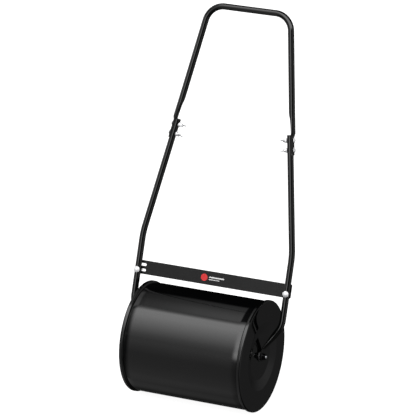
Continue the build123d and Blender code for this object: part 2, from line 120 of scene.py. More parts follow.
def on_axle(side):
    """Own z runs outwards along the axle from its middle, on the right (1) or left (-1)."""
    return place(AXLE, Vector((side, 0, 0)), Vector((0, 0, 1)))


LOWER_TOP = Vector((JOINT_X, 0, JOINT_S))
LOWER_UP = (LOWER_TOP - Vector((LEG_X, 0, ELBOW_S))).normalized()
LOWER_OUT = Vector((LOWER_UP.z, 0, -LOWER_UP.x))
UPPER_CORNER = Vector((CORNER_X, 0, BAR_S))
UPPER_UP = (UPPER_CORNER - Vector((UPPER_X, 0, JOINT_S))).normalized()
CRIMP_TOP = UPPER_CORNER - UPPER_UP * ((BAR_S - CRIMP_TOP_S) / UPPER_UP.z)


def mirrored(v, side):
    return Vector((v.x * side, v.y, v.z))


# ---------------------------- mesh helpers
def finish_mesh(bm, sharp=35.0):
    """Turns the faces outwards and marks the sharp edges."""
    bmesh.ops.recalc_face_normals(bm, faces=bm.faces)
    for f in bm.faces:
        f.smooth = True
    limit = math.radians(sharp)
    for e in bm.edges:
        e.smooth = len(e.link_faces) == 2 and e.calc_face_angle(0.0) < limit


def piece(name, bm, body, material, replaces=(), sharp=35.0):
    finish_mesh(bm, sharp)
    mesh = bpy.data.meshes.new(name)
    bm.to_mesh(mesh)
    bm.free()
    obj = bpy.data.objects.new(name, mesh)
    bpy.context.scene.collection.objects.link(obj)
    mesh.materials.append(material)
    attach(obj, body)
    if replaces:
        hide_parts(*replaces)
    return obj


def skin(rings, cap_start=False, cap_end=False, bm=None):
    """Joins rings of points, all with the same count, into a surface."""
    bm = bm or bmesh.new()
    rows = [[bm.verts.new(p) for p in ring] for ring in rings]
    count = len(rows[0])
    for a, b in zip(rows, rows[1:]):
        for i in range(count):
            j = (i + 1) % count
            bm.faces.new((a[i], a[j], b[j], b[i]))
    if cap_start:
        bm.faces.new(rows[0])
    if cap_end:
        bm.faces.new(rows[-1])
    return bm


def lathe(profile, steps=64, matrix=None, closed=True, bm=None):
    """Turns a closed outline of (z, radius) points round its own z axis."""
    bm = bm or bmesh.new()
    start = len(bm.verts)
    rows = [[bm.verts.new((r * math.cos(a), r * math.sin(a), z)) for z, r in profile]
            for a in full_turn(steps)]
    count = len(profile)
    last = count if closed else count - 1
    for i in range(steps):
        a, b = rows[i], rows[(i + 1) % steps]
        for j in range(last):
            k = (j + 1) % count
            bm.faces.new((a[j], a[k], b[k], b[j]))
    if matrix is not None:
        bm.verts.ensure_lookup_table()
        bmesh.ops.transform(bm, matrix=matrix, verts=bm.verts[start:])
    return bm


def rounded(points, steps=6):
    """A closed outline of (a, b, radius) corners, with each corner rounded."""
    out = []
    count = len(points)
    for i, (a, b, radius) in enumerate(points):
        corner = Vector((a, b))
        back = Vector(points[i - 1][:2]) - corner
        ahead = Vector(points[(i + 1) % count][:2]) - corner
        if radius <= 0:
            out.append((a, b))
            continue
        half = back.angle(ahead) / 2
        reach = min(radius / math.tan(half), 0.49 * back.length, 0.49 * ahead.length)
        radius = reach * math.tan(half)
        u, v = back.normalized(), ahead.normalized()
        centre = corner + (u + v).normalized() * (radius / math.sin(half))
        start, end = corner + u * reach - centre, corner + v * reach - centre
        sweep = start.angle_signed(end)
        for k in range(steps + 1):
            turn = -sweep * k / steps
            c, n = math.cos(turn), math.sin(turn)
            out.append((centre.x + start.x * c - start.y * n, centre.y + start.x * n + start.y * c))
    return out


def subdivided(outline, longest):
    """The same closed outline with extra points on its long runs."""
    out = []
    for i, p in enumerate(outline):
        q = outline[(i + 1) % len(outline)]
        parts = max(1, math.ceil(math.dist(p, q) / longest))
        out += [(p[0] + (q[0] - p[0]) * k / parts, p[1] + (q[1] - p[1]) * k / parts)
                for k in range(parts)]
    return out


def cut(obj, cutters, operation="DIFFERENCE"):
    """Cuts the other meshes out of a piece and applies the result."""
    for cutter in cutters:
        mod = obj.modifiers.new("cut", "BOOLEAN")
        mod.object, mod.operation, mod.solver = cutter, operation, "EXACT"
    dg = bpy.context.evaluated_depsgraph_get()
    result = bpy.data.meshes.new_from_object(obj.evaluated_get(dg))
    obj.modifiers.clear()
    old = obj.data
    obj.data = result
    bpy.data.meshes.remove(old)
    for cutter in cutters:
        bpy.data.meshes.remove(cutter.data)
    bm = bmesh.new()
    bm.from_mesh(obj.data)
    finish_mesh(bm)
    bm.to_mesh(obj.data)
    bm.free()


def cutter(bm):
    bmesh.ops.recalc_face_normals(bm, faces=bm.faces)
    mesh = bpy.data.meshes.new("cutter")
    bm.to_mesh(mesh)
    bm.free()
    obj = bpy.data.objects.new("cutter", mesh)
    bpy.context.scene.collection.objects.link(obj)
    return obj


def full_turn(count):
    """Angles at equal steps round a circle."""
    return [2 * math.pi * i / count for i in range(count)]


def eased(t):
    """0 to 1 with a slow start and a slow end."""
    return t * t * (3 - 2 * t)


def rod_cutter(matrix, radius, low, high):
    ring = [(radius * math.cos(a), radius * math.sin(a)) for a in full_turn(40)]
    rings = [[matrix @ Vector((x, y, z)) for x, y in ring] for z in (low, high)]
    return cutter(skin(rings, True, True))


# ---------------------------- materials
class Nodes:
    """Short names for building a material's nodes."""

    def __init__(self, tree):
        self.tree = tree
        self.links = tree.links

    def add(self, kind, **inputs):
        node = self.tree.nodes.new(kind)
        for key, value in inputs.items():
            if key.startswith("_"):
                setattr(node, key[1:], value)
            else:
                self.put(node, key.replace("_", " "), value)
        return node

    def put(self, node, name, value):
        socket = node.inputs[int(name)] if name.isdigit() else node.inputs[name]
        if isinstance(value, bpy.types.NodeSocket):
            self.links.new(value, socket)
        else:
            socket.default_value = value

    def math(self, operation, a, b=0.0):
        node = self.add("ShaderNodeMath", _operation=operation)
        self.put(node, "0", a)
        self.put(node, "1", b)
        return node.outputs[0]

    def noise(self, coords, scale, detail=4.0, rough=0.5):
        node = self.add("ShaderNodeTexNoise", Vector=coords, Scale=scale, Detail=detail,
                        Roughness=rough)
        return node.outputs["Fac"]

    def range(self, value, low, high, to_low, to_high, smooth=False):
        node = self.add("ShaderNodeMapRange", _interpolation_type="SMOOTHSTEP" if smooth else "LINEAR")
        node.clamp = True
        for i, v in enumerate((value, low, high, to_low, to_high)):
            self.put(node, str(i), v)
        return node.outputs[0]

    def ease(self, value, low, high, start=0.0, end=1.0):
        """Soft change from start to end while the value goes from low to high."""
        return self.range(value, low, high, start, end, True)

    def times(self, *factors):
        out = factors[0]
        for factor in factors[1:]:
            out = self.math("MULTIPLY", out, factor)
        return out

    def blend(self, fac, a, b):
        """The number a where fac is 0 and b where it is 1."""
        return self.math("ADD", self.times(self.math("SUBTRACT", 1.0, fac), a), self.times(fac, b))

    def mix(self, fac, a, b):
        node = self.add("ShaderNodeMix", _data_type="RGBA")
        self.put(node, "0", fac)
        for i, v in ((6, a), (7, b)):
            if isinstance(v, bpy.types.NodeSocket):
                self.links.new(v, node.inputs[i])
            else:
                node.inputs[i].default_value = (*v, 1.0)
        return node.outputs[2]

    def bump(self, height, strength, distance):
        node = self.add("ShaderNodeBump", Height=height, Strength=strength, Distance=distance)
        return node.outputs["Normal"]


def material(name):
    mat = bpy.data.materials.new(name)
    mat.use_nodes = True
    n = Nodes(mat.node_tree)
    shader = mat.node_tree.nodes["Principled BSDF"]
    coords = n.add("ShaderNodeTexCoord").outputs["Object"]
    return mat, n, shader, coords


def paint(name, colour, dust, rough, rough_spread, peel, peel_scale=260.0, specular=0.5):
    """Powder coat: orange peel, uneven gloss, a little dust, fine handling marks."""
    mat, n, shader, coords = material(name)
    broad = n.noise(coords, 9.0, 5.0, 0.6)
    speck = n.noise(coords, 900.0, 2.0, 0.5)
    grain = n.noise(coords, peel_scale, 2.0, 0.4)
    fine = n.noise(coords, peel_scale * 3.1, 2.0, 0.5)
    stretched = n.add("ShaderNodeMapping", Vector=coords, Scale=(60.0, 420.0, 420.0))
    marks = n.noise(stretched.outputs[0], 1.0, 3.0, 0.7)
    scuffs = n.ease(marks, 0.64, 0.74)
    dusty = n.times(n.ease(broad, 0.45, 0.7), n.ease(speck, 0.55, 0.75))
    shader.inputs["Specular IOR Level"].default_value = specular
    n.put(shader, "Base Color", n.mix(dusty, colour, dust))
    gloss = n.range(broad, 0.3, 0.7, rough - rough_spread, rough + rough_spread)
    gloss = n.math("ADD", gloss, n.times(scuffs, 0.06))
    n.put(shader, "Roughness", n.math("ADD", gloss, n.times(dusty, 0.15)))
    height = n.math("ADD", grain, n.times(fine, 0.35))
    n.put(shader, "Normal", n.bump(height, peel, 0.0004))
    return mat


def metal(name, colour, dark, rough, rough_spread, stretch=(1.0, 1.0, 1.0), bump=0.12,
          metallic=1.0):
    """Plated or drawn steel: fine lines, stains and uneven gloss."""
    mat, n, shader, coords = material(name)
    lines = n.add("ShaderNodeMapping", Vector=coords, Scale=stretch)
    grain = n.noise(lines.outputs[0], 900.0, 3.0, 0.6)
    stain = n.noise(coords, 120.0, 4.0, 0.6)
    shader.inputs["Metallic"].default_value = metallic
    n.put(shader, "Base Color", n.mix(n.ease(stain, 0.35, 0.75), colour, dark))
    n.put(shader, "Roughness",
          n.range(grain, 0.3, 0.7, rough - rough_spread, rough + rough_spread))
    n.put(shader, "Normal", n.bump(grain, bump, 0.0001))
    return mat


def moulded(name, colour, pale, rough, grain_scale=1400.0, bump=0.25):
    """Moulded plastic or rubber: fine spark grain with paler worn patches."""
    mat, n, shader, coords = material(name)
    grain = n.noise(coords, grain_scale, 3.0, 0.6)
    wear = n.noise(coords, 60.0, 5.0, 0.65)
    n.put(shader, "Base Color", n.mix(n.ease(wear, 0.5, 0.8, 0.0, 0.6), colour, pale))
    n.put(shader, "Roughness", n.range(wear, 0.3, 0.7, rough - 0.08, rough + 0.08))
    n.put(shader, "Normal", n.bump(grain, bump, 0.0002))
    return mat


BLACK = (0.0008, 0.0008, 0.0009)
DUST = (0.012, 0.012, 0.0115)
DRUM_PAINT = paint("drum_paint", BLACK, DUST, 0.085, 0.02, 0.02)
END_PAINT = paint("end_paint", BLACK, DUST, 0.06, 0.015, 0.015)
TUBE_PAINT = paint("tube_paint", BLACK, DUST, 0.09, 0.02, 0.03, 420.0)
SCRAPER_PAINT = paint("scraper_paint", (0.002, 0.002, 0.0021), (0.012, 0.012, 0.0115), 0.3, 0.05,
                      0.22, 900.0, 0.3)
WELD_PAINT = paint("weld_paint", BLACK, DUST, 0.3, 0.05, 0.25, 500.0)
ZINC = metal("zinc_plate", (0.88, 0.88, 0.89), (0.7, 0.71, 0.73), 0.36, 0.06, metallic=0.35)
CAST_ZINC = metal("cast_zinc", (0.84, 0.84, 0.85), (0.66, 0.67, 0.69), 0.42, 0.08, bump=0.3,
                  metallic=0.35)
# Zinc-plated axle nuts and washers with a near-black base colour: painted shade standing in for the shadow and
# dark reflections at the hub
PAINTED_SHADE_ZINC = metal("black_zinc", (0.012, 0.012, 0.013), (0.03, 0.03, 0.032), 0.3, 0.06, bump=0.2)
AXLE_STEEL = metal("axle_steel", (0.74, 0.75, 0.76), (0.52, 0.53, 0.55), 0.3, 0.07)
HUB_STEEL = metal("hub_steel", (0.42, 0.42, 0.43), (0.26, 0.25, 0.24), 0.42, 0.08, (0.05, 1.0, 1.0))
NYLON = moulded("bush_nylon", (0.03, 0.03, 0.031), (0.05, 0.05, 0.05), 0.5)
RUBBER = moulded("gasket_rubber", (0.02, 0.02, 0.02), (0.045, 0.045, 0.043), 0.75, 1800.0, 0.3)
PLUG_PLASTIC = moulded("plug_plastic", (0.02, 0.02, 0.021), (0.04, 0.04, 0.04), 0.42)
DECAL_RED = moulded("decal_red", (0.55, 0.012, 0.014), (0.62, 0.03, 0.03), 0.32, 900.0, 0.06)
DECAL_PALE = moulded("decal_pale", (0.62, 0.62, 0.62), (0.72, 0.72, 0.71), 0.34, 900.0, 0.06)

# ---------------------------- drum
DRUM_STEPS = 288


def barrel():
    reach, drop = SHELL_HALF - CURVE_IN, BODY - END_RADIUS
    turn = 2 * math.atan2(drop, reach)
    radius = reach / math.sin(turn)
    end = [(CURVE_IN + radius * math.sin(turn * k / 10),
            BODY - radius * (1 - math.cos(turn * k / 10))) for k in range(11)]
    outer = [(-z, r) for z, r in reversed(end)] + end
    inner = [(z, r - SHEET) for z, r in reversed(outer)]
    outline = subdivided(outer + inner, 14.0)
    return piece("drum_barrel", lathe(outline, DRUM_STEPS, on_axle(1)), "drum",
                 DRUM_PAINT, ["drum_shell"])


def end_outline():
    step = SHELL_HALF + RIM_STEP
    skirt = END_RADIUS - SHEET - SKIRT_GAP
    slope = math.atan2(HALF - FLOOR_X, RECESS_MOUTH - RECESS_FLOOR)
    shift = SHEET * math.tan(slope / 2)
    outer = [
        (step - SKIRT_LONG, skirt, 0.4), (step, skirt, 0.4), (step, END_RADIUS, 0.5),
        (step + RIM_RISE, RIM, RISE_ROUND), (HALF, RIM, RIM_ROUND), (HALF, RECESS_MOUTH, RECESS_ROUND),
        (FLOOR_X, RECESS_FLOOR, RECESS_ROUND - SHEET), (FLOOR_X, END_BORE, 0.2),
    ]
    inner = [
        (FLOOR_X - SHEET, END_BORE, 0.2), (FLOOR_X - SHEET, RECESS_FLOOR + shift, RECESS_ROUND),
        (HALF - SHEET, RECESS_MOUTH + shift, RECESS_ROUND - SHEET),
        (HALF - SHEET, RIM - SHEET, RIM_ROUND - SHEET),
        (step + RIM_RISE + SHEET / 2, RIM - SHEET, 0.8), (step + SHEET, END_RADIUS, 0.6),
        (step + SHEET, skirt - SHEET, 0.4), (step - SKIRT_LONG, skirt - SHEET, 0.4),
    ]
    return subdivided(rounded(outer + inner, 9), 12.0)


def end_plates():
    for side, name in ((1, "right"), (-1, "left")):
        obj = piece(f"drum_end_{name}", lathe(end_outline(), DRUM_STEPS, on_axle(side)), "drum",
                    END_PAINT, [f"{name}_end_plate"])
        if side < 0:
            hole = place(FILLER, Vector((-1, 0, 0)), Vector((0, 0, 1)))
            cut(obj, [rod_cutter(hole, FILLER_HOLE, -8.0, 4.0)])


barrel()
end_plates()


# ---------------------------- handle tubes
def round_path(corners, radii, spacing=22.0, turn_step=4.0):
    """Points and directions in the (x, s) plane along straight runs joined by bends."""
    points = [Vector(c) for c in corners]
    stations = []
    here = points[0]

    def straight(end, ahead):
        parts = max(1, round((end - here).length / spacing))
        return [(here.lerp(end, k / parts), ahead) for k in range(parts)]

    for i, radius in enumerate(radii, 1):
        ahead = (points[i] - points[i - 1]).normalized()
        after = (points[i + 1] - points[i]).normalized()
        angle = ahead.angle(after)
        end = points[i] - ahead * (radius * math.tan(angle / 2))
        stations += straight(end, ahead)
        sign = 1 if ahead.x * after.y - ahead.y * after.x > 0 else -1
        side = Vector((-ahead.y, ahead.x)) * sign
        centre = end + side * radius
        parts = max(2, math.ceil(math.degrees(angle) / turn_step))
        for k in range(parts):
            t = angle * k / parts
            point = centre - side * radius * math.cos(t) + ahead * radius * math.sin(t)
            direction = ahead * math.cos(t) + side * math.sin(t)
            stations.append((point, direction))
        here = centre - side * radius * math.cos(angle) + ahead * radius * math.sin(angle)
    ahead = (points[-1] - points[-2]).normalized()
    return stations + straight(points[-1], ahead) + [(points[-1], ahead)]


AROUND = 64


def stadium(half_long, half_thick):
    """Points round a section: (across, out), round when the two halves are equal."""
    out = []
    count = AROUND // 2
    for sign in (1, -1):
        for i in range(count):
            a = math.radians(-90 + 180 * (i + 0.5) / count)
            across = (half_long - half_thick) + half_thick * math.cos(a)
            out.append((sign * across, sign * half_thick * math.sin(a)))
    return out


def ring_at(point, direction, outline, side=1):
    """Section points in the row frame; out is to the right of the direction of travel."""
    out_x, out_s = direction.y, -direction.x
    return [leaned((point.x + out_x * o) * side, y, point.y + out_s * o) for y, o in outline]


def arc(radius, start, end, count, centre=(0, 0)):
    """Points (across, out) at the middles of equal steps; 0 degrees points out."""
    turns = [math.radians(start + (end - start) * (i + 0.5) / count) for i in range(count)]
    return [Vector(centre) + Vector((math.sin(a), math.cos(a))) * radius for a in turns]


WALL_POINTS, TIP_POINTS = 26, 6
WALL_END, TIP_END = 103, 126     # degrees from outwards where the round tube's stretches meet


def round_section(nest=0.0):
    """The round tube's outline: outer wall, tip, inner wall and tip."""
    centre = (0, nest)
    return (arc(TUBE, -WALL_END, WALL_END, WALL_POINTS, centre)
            + arc(TUBE, WALL_END, TIP_END, TIP_POINTS, centre)
            + arc(TUBE, TIP_END, 360 - TIP_END, WALL_POINTS, centre)
            + arc(TUBE, 360 - TIP_END, 360 - WALL_END, TIP_POINTS, centre))


def crescent(nest, press, outer_press=1):
    """Upper tube's section about the lower tube's axis, in the stretches of round_section."""
    middle, reach = (CRESCENT_IN + CRESCENT_OUT) / 2, (CRESCENT_OUT - CRESCENT_IN) / 2
    half_turn = math.radians(CRESCENT_HALF)
    tip = Vector((math.sin(half_turn), math.cos(half_turn)))
    right, left = tip * middle, Vector((-tip.x, tip.y)) * middle
    flat = arc(reach, CRESCENT_HALF, CRESCENT_HALF + 180, TIP_POINTS, right)
    flat += arc(CRESCENT_IN, CRESCENT_HALF, -CRESCENT_HALF, WALL_POINTS)
    flat += arc(reach, -CRESCENT_HALF - 180, -CRESCENT_HALF, TIP_POINTS, left)
    rest = [a.lerp(b, press) for a, b in zip(round_section(nest)[WALL_POINTS:], flat)]

    wall_end = math.radians(WALL_END)
    round_end = Vector((TUBE * math.sin(wall_end), nest + TUBE * math.cos(wall_end)))
    half, low = round_end.lerp(tip * CRESCENT_OUT, press)
    high = nest + TUBE + (CRESCENT_OUT - nest - TUBE) * outer_press
    radius = (half * half + (high - low) ** 2) / (2 * (high - low))
    turn = math.degrees(math.atan2(half, low - high + radius))
    return arc(radius, -turn, turn, WALL_POINTS, (0, high - radius)) + rest


def crimp_rings(side):
    """Rings from the pressed end's lower edge up to the round tube."""
    drop = (CRIMP_TOP - LOWER_TOP).dot(LOWER_UP)
    nest = (CRIMP_TOP - LOWER_TOP).dot(LOWER_OUT)
    rings = []

    def ring(height, outline):
        centre = LOWER_TOP + LOWER_UP * height
        rings.append([leaned(*mirrored(centre + LOWER_OUT * o + Vector((0, y, 0)), side))
                      for y, o in outline])

    pressed = crescent(nest, 1)
    core = (CRESCENT_IN + CRESCENT_OUT) / 2
    edge, edge_high = 0.9, 0.25      # the cut edge is a little thinner than the wall
    ring(-CRIMP_BOTTOM, [(y * 0.985, core + (o - core) * edge) for y, o in pressed])
    ring(-CRIMP_BOTTOM + edge_high, pressed)
    for i in range(1, 8):
        ring(-CRIMP_BOTTOM + (CRIMP_BOTTOM - OUTER_WALL_DOWN) * i / 7, pressed)
    for i in range(1, 9):
        ring(-OUTER_WALL_DOWN + (OUTER_WALL_DOWN + CRIMP_FULL) * i / 8,
             crescent(nest, 1, 1 - eased(i / 8)))
    for i in range(1, 19):
        ring(CRIMP_FULL + (drop - CRIMP_FULL) * i / 18, crescent(nest, 1 - eased(i / 18), 0))
    return rings


def upper_handle():
    stations = round_path(
        [(CRIMP_TOP.x, CRIMP_TOP.z), (CORNER_X, BAR_S), (-CORNER_X, BAR_S),
         (-CRIMP_TOP.x, CRIMP_TOP.z)], [CORNER_BEND, CORNER_BEND])
    tube = [ring_at(p, d, round_section()) for p, d in stations[1:-1]]
    rings = crimp_rings(1) + tube + crimp_rings(-1)[::-1]
    return piece("handle_upper", skin(rings, True, True), "frame", TUBE_PAINT,
                 ["upper_handle"])


def flattened():
    """Sections of the lower tube from the knee to the tab: point, direction, half sizes."""
    knee, ankle = KNEE_BEND * TURN_IN, ANKLE_BEND * TURN_IN
    inward = LEG_X - TAB_X - (KNEE_BEND + ANKLE_BEND) * (1 - math.cos(TURN_IN))
    straight = inward / math.sin(TURN_IN)
    total = knee + straight + ankle
    out = []
    steps = 34
    for i in range(steps + 1):
        travel = total * i / steps
        if travel <= knee:
            angle = travel / KNEE_BEND
            x = LEG_X - KNEE_BEND * (1 - math.cos(angle))
            s = KNEE_S - KNEE_BEND * math.sin(angle)
        else:
            along = min(travel - knee, straight)
            angle = TURN_IN
            x = LEG_X - KNEE_BEND * (1 - math.cos(angle)) - along * math.sin(angle)
            s = KNEE_S - KNEE_BEND * math.sin(angle) - along * math.cos(angle)
            if travel > knee + straight:
                angle = TURN_IN - (travel - knee - straight) / ANKLE_BEND
                x -= ANKLE_BEND * (math.cos(angle) - math.cos(TURN_IN))
                s -= ANKLE_BEND * (math.sin(TURN_IN) - math.sin(angle))
        share = max(0.0, (travel - FLATTEN_FROM) / (total - FLATTEN_FROM))
        thick = 2 * TUBE - (2 * TUBE - TAB_THICK) * eased(share)
        width = thick + math.pi / 2 * (2 * TUBE - thick)
        direction = Vector((-math.sin(angle), -math.cos(angle)))
        out.append((Vector((x, s)), direction, width / 2, thick / 2))
    return out


def lower_tube(side):
    stations = round_path([(JOINT_X, JOINT_S), (LEG_X, ELBOW_S), (LEG_X, KNEE_S)], [ELBOW_BEND],
                          22.0, 1.2)
    round_outline = stadium(TUBE, TUBE)
    bore_outline = stadium(BORE, BORE)
    rim = 0.3
    top, down = stations[0]
    rings = [ring_at(p, d, bore_outline, side) for p, d in reversed(stations)]
    rings.append(ring_at(top + down * rim, down, bore_outline, side))
    rings.append(ring_at(top, down, stadium(BORE + rim, BORE + rim), side))
    rings.append(ring_at(top, down, stadium(TUBE - rim, TUBE - rim), side))
    rings.append(ring_at(top + down * rim, down, round_outline, side))
    rings += [ring_at(p, d, round_outline, side) for p, d in stations[1:-1]]
    sections = flattened()
    rings += [ring_at(p, d, stadium(w, t), side) for p, d, w, t in sections]
    point, direction, half, thick = sections[-1]
    rings += [ring_at(Vector((TAB_X, point.y * (1 - k / 3))), direction, stadium(half, thick), side)
              for k in (1, 2, 3)]
    for k in range(1, 21):
        a = math.radians(83.0 * k / 20)
        wide = max(half * math.cos(a), thick)
        rings.append(ring_at(Vector((TAB_X, -half * math.sin(a))), direction,
                             stadium(wide, thick), side))
    rings.append(ring_at(Vector((TAB_X, -half * 0.997)), direction, stadium(thick * 0.6, thick * 0.6),
                         side))
    name = "right" if side > 0 else "left"
    obj = piece(f"handle_leg_{name}", skin(rings, True, True), "frame", TUBE_PAINT,
                [f"{name}_lower_tube"])
    cut(obj, [rod_cutter(on_axle(side), AXLE_HOLE, TAB_X - 6, TAB_X + 6)])
    return obj


upper_handle()
for side in (1, -1):
    lower_tube(side)


# ---------------------------- scraper
def slot_outline(x, s, length, height, count=12):
    out = []
    for sign in (1, -1):
        for i in range(count + 1):
            a = math.radians(-90 + 180 * i / count)
            out.append((x + sign * ((length - height) / 2 + height / 2 * math.cos(a)),
                        s + sign * height / 2 * math.sin(a)))
    return out


def scraper():
    w, h, corner = SCRAPER_HALF, SCRAPER_HIGH / 2, 2.5
    outer = rounded([(w, SCRAPER_S + h, corner), (w, SCRAPER_S - h, corner),
                     (-w, SCRAPER_S - h, corner), (-w, SCRAPER_S + h, corner)], 5)
    outer = subdivided(outer, 30.0)
    slots = ((RIGHT_SLOT_IN, SLOT_OUT, BOLT_SLOT_S), (-SLOT_OUT, -LEFT_SLOT_IN, BOLT_SLOT_S),
             (-SLOT_OUT, -LEFT_SLOT_IN, SPARE_SLOT_S))
    loops = [outer] + [slot_outline((a + b) / 2, s, b - a, SLOT_HIGH) for a, b, s in slots]
    bm = bmesh.new()
    edges = []
    for loop in loops:
        verts = [bm.verts.new((x, TUBE, s)) for x, s in loop]
        edges += [bm.edges.new((verts[i - 1], verts[i])) for i in range(len(verts))]
    bmesh.ops.triangle_fill(bm, use_beauty=True, edges=edges)
    faces = bm.faces[:]
    extruded = bmesh.ops.extrude_face_region(bm, geom=faces)
    moved = [v for v in extruded["geom"] if isinstance(v, bmesh.types.BMVert)]
    bmesh.ops.translate(bm, vec=(0, SCRAPER_THICK, 0), verts=moved)
    for v in bm.verts:
        v.co = leaned(*v.co)
    obj = piece("scraper_blade", bm, "frame", SCRAPER_PAINT, ["scraper_plate"])
    bevel = obj.modifiers.new("edges", "BEVEL")
    bevel.width, bevel.segments, bevel.limit_method = 0.35 * MM, 3, "ANGLE"
    bevel.angle_limit = math.radians(40)
    obj.modifiers.new("normals", "WEIGHTED_NORMAL").keep_sharp = False
    obj.visible_glossy = False
    return obj


def decal(name, outline, mat):
    """A thin printed film on the scraper's front face."""
    bm = bmesh.new()
    rows = [[bm.verts.new(leaned(x, y, s)) for x, s in outline] for y in (TUBE, TUBE - 0.08)]
    for i in range(len(outline)):
        bm.faces.new((rows[0][i - 1], rows[0][i], rows[1][i], rows[1][i - 1]))
    bm.faces.new(rows[0])
    bm.faces.new(rows[1])
    piece(name, bm, "frame", mat).visible_glossy = False


def bar_outline(x_start, x_end, s, height):
    return slot_outline((x_start + x_end) / 2, s, x_end - x_start, height)


scraper()
SPOT_X, SPOT_RADIUS = -28.0, 10.2
decal("decal_spot", [(SPOT_X + SPOT_RADIUS * math.cos(a), SCRAPER_S + SPOT_RADIUS * math.sin(a))
                     for a in full_turn(48)], DECAL_RED)
decal("decal_bar_upper", bar_outline(-13, 34, SCRAPER_S + 2.6, 3.6), DECAL_PALE)
decal("decal_bar_lower", bar_outline(-13, 20, SCRAPER_S - 4.0, 2.0), DECAL_PALE)


# ---------------------------- fasteners
def turned_rod(bm, matrix, rows, pitch=1.0, steps=40):
    """Solid turned round its own z; each row is (z, radius, thread depth)."""
    rings = []
    for z, radius, depth in rows:
        ring = []
        for i in range(steps):
            a = 2 * math.pi * i / steps
            phase = (z / pitch - i / steps) % 1.0
            r = radius - depth * abs(2 * phase - 1)
            ring.append(matrix @ Vector((r * math.cos(a), r * math.sin(a), z)))
        rings.append(ring)
    skin(rings, True, True, bm)


def thread_rows(start, end, radius, pitch, depth, per_turn=8):
    """Rows of a screw thread that fades in at its start and is chamfered at its end."""
    count = max(2, round(abs(end - start) / pitch * per_turn))
    rows = []
    for i in range(count + 1):
        z = start + (end - start) * i / count
        fade = min(1.0, abs(z - start) / pitch)
        chamfer = max(0.0, depth * 1.1 - abs(end - z))
        rows.append((z, radius - chamfer, depth * fade * (1 - chamfer / (depth * 1.3))))
    return rows


def domed_bolt(bm, matrix, head_radius, head, length, plain):
    """Domed head above z 0 and an M6 shank below it, threaded past its plain length."""
    dome = (head_radius ** 2 + head ** 2) / (2 * head)
    rim = 0.45
    rows = []
    for i in range(1, 13):
        r = head_radius * math.sin(math.pi / 2 * i / 12)
        rows.append((max(head - dome + math.sqrt(dome * dome - r * r), rim), r, 0))
    rows += [(0.2, head_radius, 0), (0.0, head_radius - 0.2, 0), (0.0, BOLT_RADIUS + 0.2, 0),
             (-0.3, BOLT_RADIUS, 0)]
    rows += thread_rows(-plain, -length, BOLT_RADIUS, 1.0, 0.55)
    turned_rod(bm, matrix, rows)


def ringed(bm, matrix, rows, steps):
    """Closed ring from rows of (z, radius function of the angle)."""
    rings = [[matrix @ Vector((radius(a) * math.cos(a), radius(a) * math.sin(a), z))
              for a in full_turn(steps)] for z, radius in rows]
    rings.append(rings[0])
    first = len(bm.verts)
    skin(rings, bm=bm)
    bmesh.ops.remove_doubles(bm, verts=list(bm.verts)[first:], dist=1e-8)


def hex_nut(bm, matrix, flats, start, height, bore, collar=0.0, collar_radius=0.0):
    """Hexagon nut with turned corners at both faces, and a rolled collar on a lock nut."""
    corner = flats / math.sqrt(3)
    face = flats / 2 * 0.97
    slope = math.tan(math.radians(30))
    roll = 0.9

    def hexagon(limit):
        def radius(a):
            flat = flats / 2 / math.cos((a + math.pi / 6) % (math.pi / 3) - math.pi / 6)
            return min(flat, limit, corner * 0.985)
        return radius

    def circle(r):
        return lambda a: r

    drop = (corner - face) * slope
    hexagon_height = height - collar
    rows = [(start + drop * k / 4, hexagon(face + drop * k / 4 / slope)) for k in range(5)]
    rows += [(start + hexagon_height - drop * k / 4, hexagon(face + drop * k / 4 / slope))
             for k in range(4, -1, -1)]
    top = start + height
    if collar:
        seat = start + hexagon_height
        rows += [(seat, circle(collar_radius + 0.35)), (seat + 0.35, circle(collar_radius))]
        for k in range(6):
            a = math.pi / 2 * k / 5
            rows.append((top - roll + roll * math.sin(a),
                         circle(collar_radius - roll + roll * math.cos(a))))
    rows += [(top, circle(bore + 0.6)), (top - 0.6, circle(bore))]
    rows += [(start + 0.6, circle(bore)), (start, circle(bore + 0.6))]
    ringed(bm, matrix, rows, 72)


def washer(bm, matrix, start, thick, outer, inner):
    """Pressed washer: one edge rolled over, the other sharp."""
    outline = rounded([(start, inner, 0.15), (start + thick, inner, 0.35),
                       (start + thick, outer, min(0.7, thick * 0.45)), (start, outer, 0.15)], 4)
    lathe(outline, 56, matrix, bm=bm)


def weld_bead(bm, matrix, radius, wide, high, ripples, steps=120):
    """Fillet bead round a z axis, with the ripples that a weld leaves."""
    section = [2 * math.pi * k / 12 for k in range(12)]
    rows = []
    for i in range(steps):
        a = 2 * math.pi * i / steps
        swell = 0.88 + 0.12 * abs(math.cos(ripples * a / 2)) + random.uniform(-0.03, 0.03)
        rows.append([matrix @ Vector(((radius + wide * swell * math.cos(t)) * math.cos(a),
                                      (radius + wide * swell * math.cos(t)) * math.sin(a),
                                      high * swell * math.sin(t))) for t in section])
    rows.append(rows[0])
    first = len(bm.verts)
    skin(rows, bm=bm)
    bmesh.ops.remove_doubles(bm, verts=list(bm.verts)[first:], dist=1e-8)


